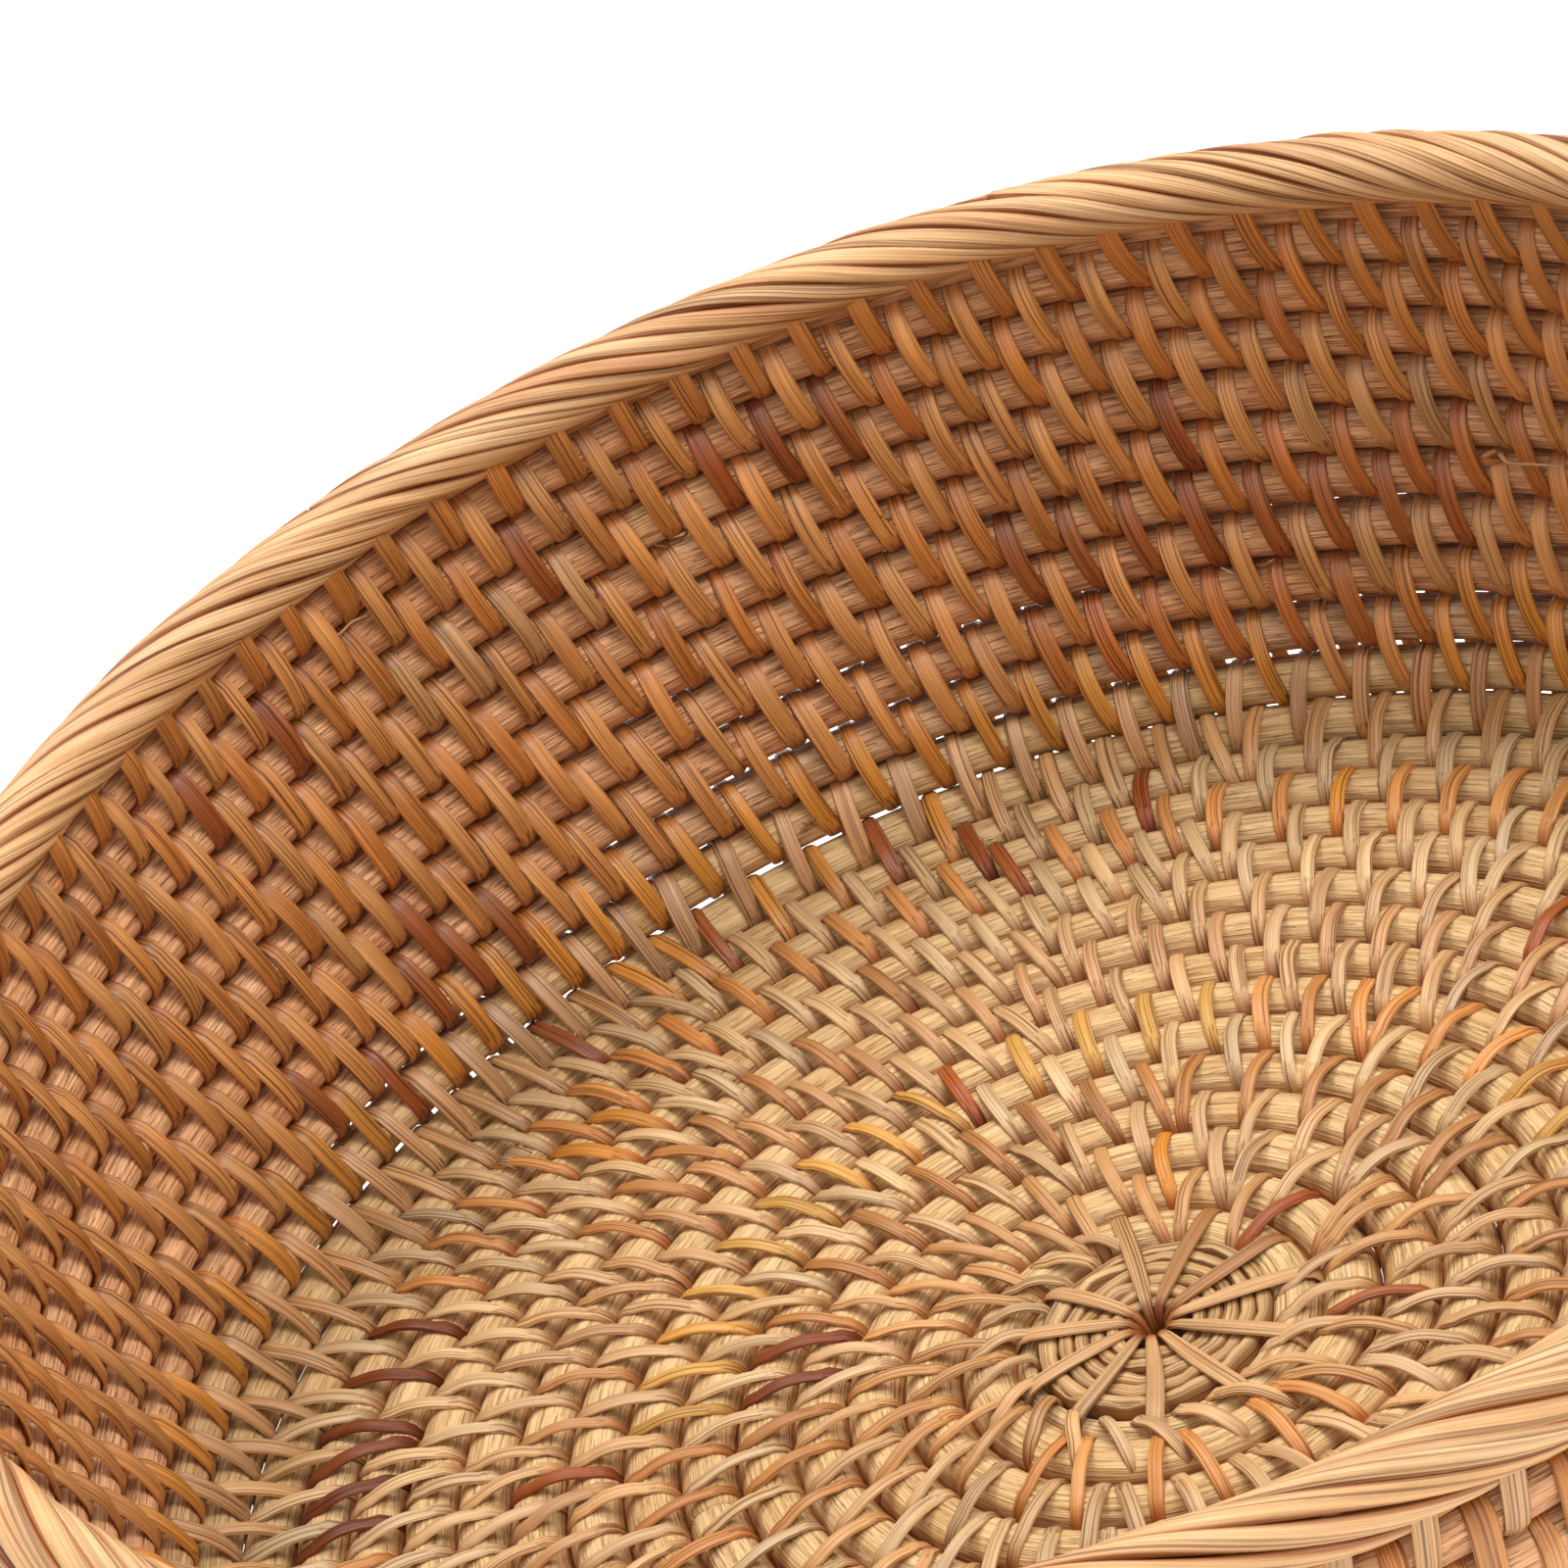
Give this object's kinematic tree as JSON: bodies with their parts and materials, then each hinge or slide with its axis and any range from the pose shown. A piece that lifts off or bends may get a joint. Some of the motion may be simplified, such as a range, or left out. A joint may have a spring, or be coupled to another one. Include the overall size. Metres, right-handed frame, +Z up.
{
  "type": "winnowing basket",
  "caption": "Round coiled rattan winnowing basket with a lashed flat base, steep wall and twisted reed rim.",
  "frame": {"origin": "centre of the flat underside, on the surface the basket stands on", "axes": "+Z up out of the open mouth, +X and +Y in the plane of the base"},
  "size_m": [0.2996, 0.2996, 0.1001],
  "materials": {
    "rod_base": "matt",
    "rod_wall": "matt",
    "peel_light": "satin",
    "peel_honey": "satin",
    "rim_reed": "satin"
  },
  "bodies": {
    "root": {"centre_lashing": "peel_light", "foundation_01": "rod_base", "foundation_02": "rod_base", "foundation_03": "rod_base", "foundation_04": "rod_base", "foundation_05": "rod_wall", "foundation_06": "rod_wall", "foundation_07": "rod_wall", "foundation_tail": "rod_wall", "lashing_row_01": "peel_light", "lashing_row_02": "peel_light", "lashing_row_03": "peel_light", "lashing_row_04": "peel_light", "lashing_row_05": "peel_light", "lashing_row_06": "peel_light", "lashing_row_07": "peel_light", "lashing_row_08": "peel_light", "lashing_row_09": "peel_light", "lashing_row_10": "peel_light", "lashing_row_11": "peel_light", "lashing_row_12": "peel_light", "lashing_row_12_ties": "peel_light", "lashing_row_13": "peel_light", "lashing_row_14": "peel_honey", "lashing_row_15": "peel_honey", "lashing_row_16": "peel_honey", "lashing_row_17": "peel_honey", "lashing_row_18": "peel_honey", "lashing_row_19": "peel_honey", "lashing_row_20": "peel_honey", "lashing_row_21": "peel_honey", "lashing_row_22": "peel_honey", "lashing_row_23": "peel_honey", "lashing_row_24": "peel_honey", "rim_core": "rod_wall", "rim_reed_01": "rim_reed", "rim_reed_02": "rim_reed", "rim_reed_03": "rim_reed", "rim_reed_04": "rim_reed", "rim_reed_05": "rim_reed", "rim_reed_06": "rim_reed", "rim_reed_07": "rim_reed", "rim_reed_08": "rim_reed", "rim_reed_09": "rim_reed", "rim_reed_10": "rim_reed", "starter_coil": "rod_base"}
  },
  "joints": []
}
